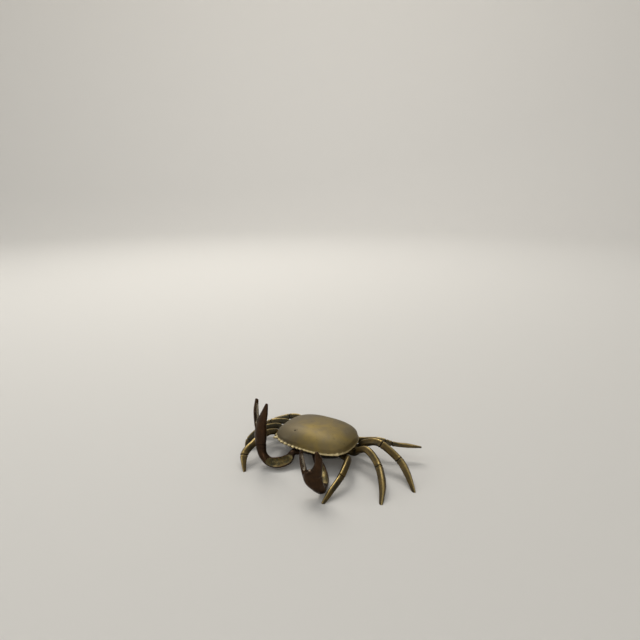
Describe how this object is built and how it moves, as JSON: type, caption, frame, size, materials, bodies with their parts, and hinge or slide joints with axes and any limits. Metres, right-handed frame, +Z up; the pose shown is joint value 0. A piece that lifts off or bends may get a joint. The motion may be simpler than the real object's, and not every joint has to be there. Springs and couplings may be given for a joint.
{
  "type": "crab figurine",
  "caption": "Cast brass crab ornament with a low domed shell hinged at the back over a shallow bowl body, bent legs and two raised claws.",
  "frame": {"origin": "on the floor, under the middle of the whole figure", "axes": "+X to the crab's left side, -Y the way the crab faces, +Z up"},
  "size_m": [0.153, 0.089, 0.0552],
  "materials": {
    "olive_brass": "aged satin, olive brown with worn bright edges",
    "dark_bronze": "dark patina, smooth outside and rough inside",
    "worn_brass": "satin, rubbed"
  },
  "bodies": {
    "body": {"bowl": "dark_bronze", "hinge_pin": "worn_brass", "limb_screws": "worn_brass", "left_claw": "dark_bronze", "right_claw": "dark_bronze", "left_leg_1": "olive_brass", "left_leg_2": "olive_brass", "left_leg_3": "olive_brass", "left_leg_4": "olive_brass", "right_leg_1": "olive_brass", "right_leg_2": "olive_brass", "right_leg_3": "olive_brass", "right_leg_4": "olive_brass"},
    "lid": {"shell": "olive_brass"}
  },
  "joints": [
    {"name": "shell_hinge", "type": "hinge", "parent": "body", "child": "lid", "pos_m": [-0.0122, 0.0372, 0.0105], "axis": [-1, 0, 0], "range_deg": [0, 95]}
  ]
}
